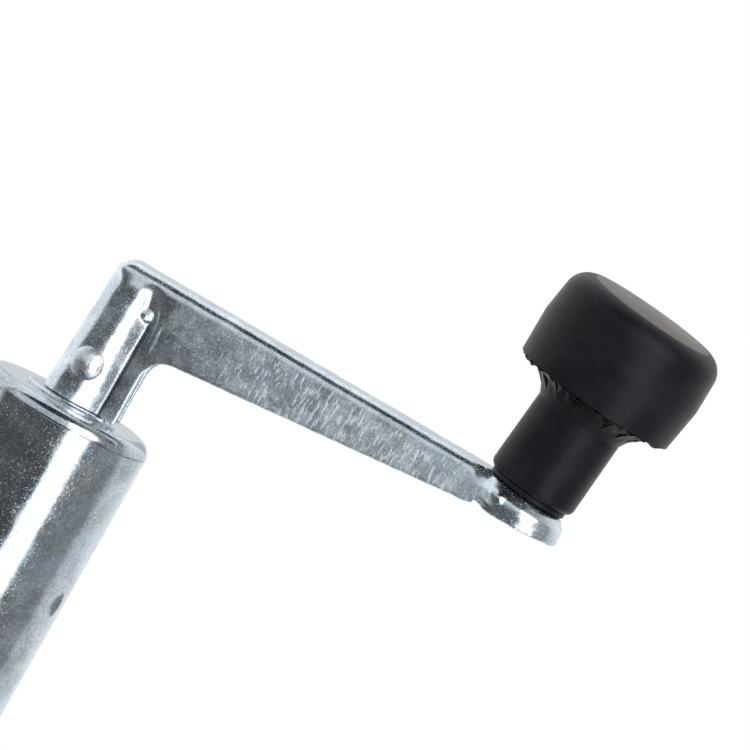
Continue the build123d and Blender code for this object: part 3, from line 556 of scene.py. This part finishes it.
def wallAt(tree, x, side, z):
    # distance of the outer wall from the middle plane, or None where there is none
    hit = tree.ray_cast(Vector((x, side * 20 * mm, z)), Vector((0, -side, 0)))
    return None if hit[0] is None else abs(hit[0].y) / mm


def shapeLeg(tree, v, x, y, h, side):
    back = handle["backAt"][0] + (h - handle["backAt"][1]) * handle["lean"]
    centre = back + handle["round"]
    leg = fade(*handle["legTop"], h)
    if x < centre:
        out = Vector((x - centre, y, 0))
        outer = out.length > handle["backFrom"] and out.dot(v.normal) > 0
        if outer and abs(v.normal.z) < handle["backUpright"]:
            return (out.normalized() * handle["round"] - out) * leg
        return Vector((0, 0, 0))
    near = min(x, handle["lip"])
    flat = wallAt(tree, near * mm, side, v.co.z)
    if flat is None or abs(y) <= handle["flangeInside"]:
        return Vector((0, 0, 0))
    slope = handle["fillet"][0] + handle["fillet"][1] * ease(*handle["filletAt"], x)
    start = handle["flangeStart"][0] - handle["flangeStart"][1] * ease(*handle["flangeStartAt"], x)
    reach = x + slope * max(h - handle["filletFrom"], 0)
    flange = fade(start, handle["flangeTop"], h) * fade(*handle["filletReach"], reach)
    crown = fade(*handle["crown"], x) * leg
    leaned = near - (centre - handle["leaningFrom"]) * fade(*handle["leaning"], x)
    return Vector((0, side * (legSection(leaned) - flat) * (flange + crown - flange * crown), 0))


def shapePip(x, y, h, side):
    within, below, outside = handle["pipReach"]
    if x >= within or h >= below or abs(y) <= outside:
        return Vector((0, 0, 0))
    away = math.hypot(x - handle["pip"][0], h - handle["pip"][1])
    return Vector((0, side * handle["pipHeight"] * fade(0.5, 1.0, away / handle["pipSize"]), 0))


def shapeNeck(tree, v, x, y, h, side):
    low, high, outside = handle["neck"]
    if not low < x < high or abs(y) <= outside:
        return Vector((0, 0, 0))
    flat = wallAt(tree, v.co.x, side, v.co.z)
    if flat is None:
        return Vector((0, 0, 0))
    width, gain, start, length = handle["neckWidth"]
    gap = width + gain * (x - start) / length - flat
    reach = ease(*handle["neckStart"], x) * fade(*handle["neckEnd"], x) * fade(*handle["neckTop"], h)
    return Vector((0, side * max(gap, 0) * reach, 0))


def shapeNose(x, y, h):
    # upright below, drawn in above, and its rim is level
    noseX, noseH, degrees = handle["noseAxis"]
    tilt = math.radians(degrees)
    down = (noseH - h) * math.cos(tilt) - (x - noseX) * math.sin(tilt)
    if x <= handle["noseFrom"] or down <= -1:
        return Vector((0, 0, 0))
    depth, upper = handle["noseDepth"], handle["noseUpper"]
    full = (noseH - handle["noseRim"] - (x - noseX) * math.sin(tilt)) / math.cos(tilt)
    least, most = handle["noseStretch"]
    stretch = max(least, min(full / depth, most)) - 1
    level = max(down - upper, 0) * depth / (depth - upper)
    out = Vector((x - (noseX - down * math.sin(tilt)), y, 0)).normalized()
    swell = along(handle["noseSwell"], down) - ease(*handle["noseFlanks"], down) * out.y**2
    shift = out * swell * ease(*handle["noseSwellAt"], x)
    shift.z -= level * stretch * ease(*handle["noseStretchAt"], x)
    return shift


def unevenness(x, y, h):
    (broad, high), (fine, low) = handle["waves"]
    wave = noise.noise(Vector((x, y * 0.5, h)) / broad) * high
    return wave + noise.noise(Vector((x, y, h)) / fine + handle["waveShift"]) * low


def isSoftened(x, y, h):
    # the neck, and the leg below the arm
    low, high, outside, below = handle["neckSoft"]
    neck = low < x < high and abs(y) > outside and h < below
    return neck or (x < handle["legSoft"][0] and h < handle["legSoft"][1])


def buildHandle():
    bm = fineShell(nodes["handle"])
    tree = BVHTree.FromBMesh(bm)
    edge, rest = [], []
    moves = {}
    for v in bm.verts:
        x, y, h = v.co.x / mm, v.co.y / mm, (v.co.z - tubeTop) / mm - handle["lift"]
        side = math.copysign(1, y)
        shift = Vector((0, 0, 0))
        if x < handle["legReach"][0] and h < handle["legReach"][1]:
            shift += shapeLeg(tree, v, x, y, h, side)
        shift += shapePip(x, y, h, side)
        shift += shapeNeck(tree, v, x, y, h, side)
        shift += shapeNose(x, y, h)
        if h < handle["footTop"] and x < handle["legReach"][0]:
            shift.z -= handle["foot"] * fade(*handle["footFade"], h)
        shift += v.normal * unevenness(x, y, h) * (1 if x < handle["calmFrom"] else 0.5)
        moves[v] = shift * mm
        if isSoftened(x, y, h):
            (edge if x > handle["edgeFrom"] else rest).append(v)
    for v, shift in moves.items():
        v.co += shift
    low, high, below = handle["edgeFine"]
    lip = {v for v in edge if low * mm < v.co.x < high * mm and v.co.z < tubeTop + below * mm}
    edges = [e for e in bm.edges if e.verts[0] in lip and e.verts[1] in lip]
    made = bmesh.ops.subdivide_edges(bm, edges=edges, cuts=1, use_grid_fill=True)
    edge += [item for item in made["geom_inner"] if isinstance(item, bmesh.types.BMVert)]
    relax(bm, [v for v in edge if v.is_valid], handle["edgePasses"])
    relax(bm, [v for v in rest if v.is_valid], handle["restPasses"])
    relax(bm, bm.verts, 1)
    finishPiece("handle_pressing", bm, finishes["zinc_arm"], "crank", ["handle"])


buildHandle()
print("handle")


# Knob: moulding skin between the ribs, with a ragged edge. Numbers are in millimetres
knob = {
    "axis": (112.0, 5.5),  # x and tilt in degrees
    # how far out and how high over the knob's foot the skin runs
    "skin": ((10.9, 20.2), (12.1, 22.6), (13.6, 25.2), (15.8, 27.1), (18.6, 28.0), (21.2, 28.3)),
    "thickness": 0.4,
    "steps": 180,
    "seed": Vector((3.1, 0.7, 5.2)),
    "waves": ((2.3, 0.9), (0.8, 0.35)),  # size and height of the skin's waves
    "wavesFrom": (12.4, 14.5),
    "calmFrom": 20.5,
    "tatters": (9, 0.6, 1.6),  # how close together, how tall, and how far they hang
    "tattersFrom": (18.5, 20.5),
}


def buildKnobSkin():
    seat = Vector((knob["axis"][0] * mm, 0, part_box("knob_grip")[0].z))
    turn = Matrix.Rotation(math.radians(knob["axis"][1]), 4, "Y")
    low = min((turn.inverted() @ (v.co - seat)).z for v in nodes["knob_grip"].data.vertices)
    base = seat + turn @ Vector((0, 0, low))
    bm = bmesh.new()
    points = [bm.verts.new((r * mm, 0, h * mm)) for r, h in knob["skin"]]
    edges = [bm.edges.new(pair) for pair in zip(points, points[1:])]
    bmesh.ops.subdivide_edges(bm, edges=edges, cuts=2)
    bmesh.ops.spin(
        bm,
        geom=bm.verts[:] + bm.edges[:],
        axis=(0, 0, 1),
        cent=(0, 0, 0),
        angle=2 * math.pi,
        steps=knob["steps"],
        use_merge=True,
    )
    bmesh.ops.remove_doubles(bm, verts=bm.verts, dist=1e-6)
    bmesh.ops.recalc_face_normals(bm, faces=bm.faces)
    closeness, tall, hang = knob["tatters"]
    for v in bm.verts:
        r = math.hypot(v.co.x, v.co.y) / mm
        wave = sum(noise.noise(v.co / mm / size + knob["seed"]) * high for size, high in knob["waves"])
        v.co.z += wave * ease(*knob["wavesFrom"], r) * mm * (0.5 if r > knob["calmFrom"] else 1)
        tatter = noise.noise(Vector((math.atan2(v.co.y, v.co.x) * closeness, 0, 4))) * tall
        v.co.z -= max(tatter, 0) * ease(*knob["tattersFrom"], r) * hang * mm
    bmesh.ops.solidify(bm, geom=bm.faces[:], thickness=knob["thickness"] * mm)
    bmesh.ops.transform(bm, matrix=Matrix.Translation(base) @ turn, verts=bm.verts)
    finishPiece("knob_moulding_skin", bm, finishes["black_plastic"], "knob")


buildKnobSkin()
print("knob skin")


# Floor, lamps and surroundings
floorLook = {
    "radius": 3.2,
    "level": -0.43935,
    "colour": (0.80, 0.80, 0.795),
    "shade": (0.76, 0.76, 0.76),
    "shadeShare": 0.04,
    "glowFrom": (0.5, 2.4),  # away from the object the paper turns into the white background
}


def backgroundRay(finish):
    # 1 for rays that show the background itself, straight or through something clear
    ray = finish.node("ShaderNodeLightPath")
    return finish.get(ray, "Is Camera Ray").most(finish.get(ray, "Is Transmission Ray"))


def buildFloor():
    bm = bmesh.new()
    bmesh.ops.create_circle(bm, cap_ends=True, segments=96, radius=floorLook["radius"])
    bmesh.ops.translate(bm, verts=bm.verts, vec=(0, 0, floorLook["level"]))
    mesh = bpy.data.meshes.new("floor")
    bm.to_mesh(mesh)
    bm.free()
    floor = bpy.data.objects.new("floor", mesh)
    scene.collection.objects.link(floor)
    finish = Finish("floorPaper")
    x, y, _ = finish.parts(finish.point())
    away = (x * x + y * y).power(0.5)
    grain = finish.noise(0.02, 3.0) * floorLook["shadeShare"]
    colour = finish.mix(grain, floorLook["colour"], floorLook["shade"])
    paper = finish.node("ShaderNodeBsdfPrincipled", {}, {"Base Color": colour, "Roughness": 0.7})
    glow = finish.node("ShaderNodeEmission", {}, {"Color": (1, 1, 1), "Strength": 1.0})
    far = finish.step(away, *floorLook["glowFrom"])
    blend = finish.node("ShaderNodeMixShader", {}, {"Fac": far * backgroundRay(finish)})
    finish.tree.links.new(paper.outputs[0], blend.inputs[1])
    finish.tree.links.new(glow.outputs[0], blend.inputs[2])
    out = finish.node("ShaderNodeOutputMaterial")
    finish.tree.links.new(blend.outputs[0], out.inputs["Surface"])
    mesh.materials.append(finish.material)
    floor.visible_glossy = False
    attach(floor, "leg")  # the ground stays under the wheel while the crank lifts the tube


def addLamp(name, place, aim, size, power):
    data = bpy.data.lights.new(name, "AREA")
    data.shape, data.size, data.size_y, data.energy = "RECTANGLE", size, size, power
    lamp = bpy.data.objects.new(name, data)
    lamp.location = place
    lamp.rotation_euler = (Vector(aim) - Vector(place)).to_track_quat("-Z", "Y").to_euler()
    lamp.visible_glossy = False
    scene.collection.objects.link(lamp)


# What the plate mirrors. Heading 0 points from the object to the camera's side, in degrees like the rise
studio = {
    # level by rise on the camera's side
    "front": (
        (-90, 0.75),
        (-72, 0.60),
        (-54, 0.20),
        (-14, 0.12),
        (0, 0.11),
        (4, 0.72),
        (41, 0.86),
        (46, 0.05),
        (90, 0.06),
    ),
    # level by heading at the sides and behind the object
    "side": (
        (-180, 1.15),
        (-130, 1.15),
        (-78, 1.15),
        (-70, 0.16),
        (0, 0.12),
        (53, 0.30),
        (104, 0.36),
        (112, 0.80),
        (150, 1.0),
        (180, 1.15),
    ),
    "frontSpan": (-78, -62, 46, 58),
    # a dimmer strip low behind the object
    "exceptBehind": (-168, -160, 160, 168),
    "stripRise": (3, 9, 22, 30),
    "stripDim": 0.45,
    # a soft box on the right, from three patches: headings, then rises
    "softBox": (
        ((23.0, 24.5, 51.5, 53.0), (-20, -16, 48, 54)),
        ((26, 28, 62, 64), (8, 16, 48, 54)),
        ((31, 34, 64, 67), (-56, -50, -20, -16)),
    ),
    "softBoxLevel": 2.6,
    "tone": (0.945, 0.985, 1.0),
}


def buildWorld():
    world = bpy.data.worlds.new("studio")
    scene.world = world
    world.use_nodes = True
    finish = Finish("studio", world.node_tree)
    place = finish.node("ShaderNodeTexCoord")
    x, y, z = finish.parts(finish.get(place, "Generated"))
    # both run from 0 to 1, over a whole turn and from straight down to straight up
    heading = x.maths("ARCTAN2", x, y * -1) / (2 * math.pi) + 0.5
    rise = z.maths("ARCSINE", z) / math.pi + 0.5

    def ramp(value, half, levels):
        # "half" is the angle at the ramp's end, and * 1.0 makes a plain number of the ramp's colour
        stops = [(degrees / (2 * half) + 0.5, level) for degrees, level in levels]
        return finish.get(finish.node("ShaderNodeValToRGB", {"ramp": stops}, {"Fac": value})) * 1.0

    def band(value, half, edges, inside=1.0):
        a, b, c, d = edges
        outside = 1.0 - inside
        levels = ((-half, outside), (a, outside), (b, inside), (c, inside), (d, outside), (half, outside))
        return ramp(value, half, levels)

    front = ramp(rise, 90, studio["front"])
    side = ramp(heading, 180, studio["side"])
    sideShare = band(heading, 180, studio["frontSpan"], inside=0.0)
    level = front * (1 - sideShare) + side * sideShare
    behind = band(heading, 180, studio["exceptBehind"], inside=0.0) * band(rise, 90, studio["stripRise"])
    level = level * (1 - behind * studio["stripDim"])
    wide, high, low = [band(heading, 180, across) * band(rise, 90, up) for across, up in studio["softBox"]]
    level = level + wide.most(high).most(low) * studio["softBoxLevel"]
    seen = backgroundRay(finish)
    strength = level * (1 - seen) + seen
    tone = finish.mix(seen, studio["tone"], (1, 1, 1))
    back = finish.node("ShaderNodeBackground", {}, {"Color": tone, "Strength": strength})
    out = finish.node("ShaderNodeOutputWorld")
    finish.tree.links.new(back.outputs[0], out.inputs["Surface"])


buildFloor()
addLamp("keyLamp", (1.1, -1.6, 1.3), (0, 0, 0.1), size=1.0, power=18)
addLamp("fillLamp", (-1.6, -1.2, 0.7), (0, 0, 0), size=1.2, power=10)
addLamp("topLamp", (0.1, 0.5, 2.1), (0, 0, 0), size=1.4, power=12)
buildWorld()
scene.view_settings.view_transform = "Standard"
print("stage set")
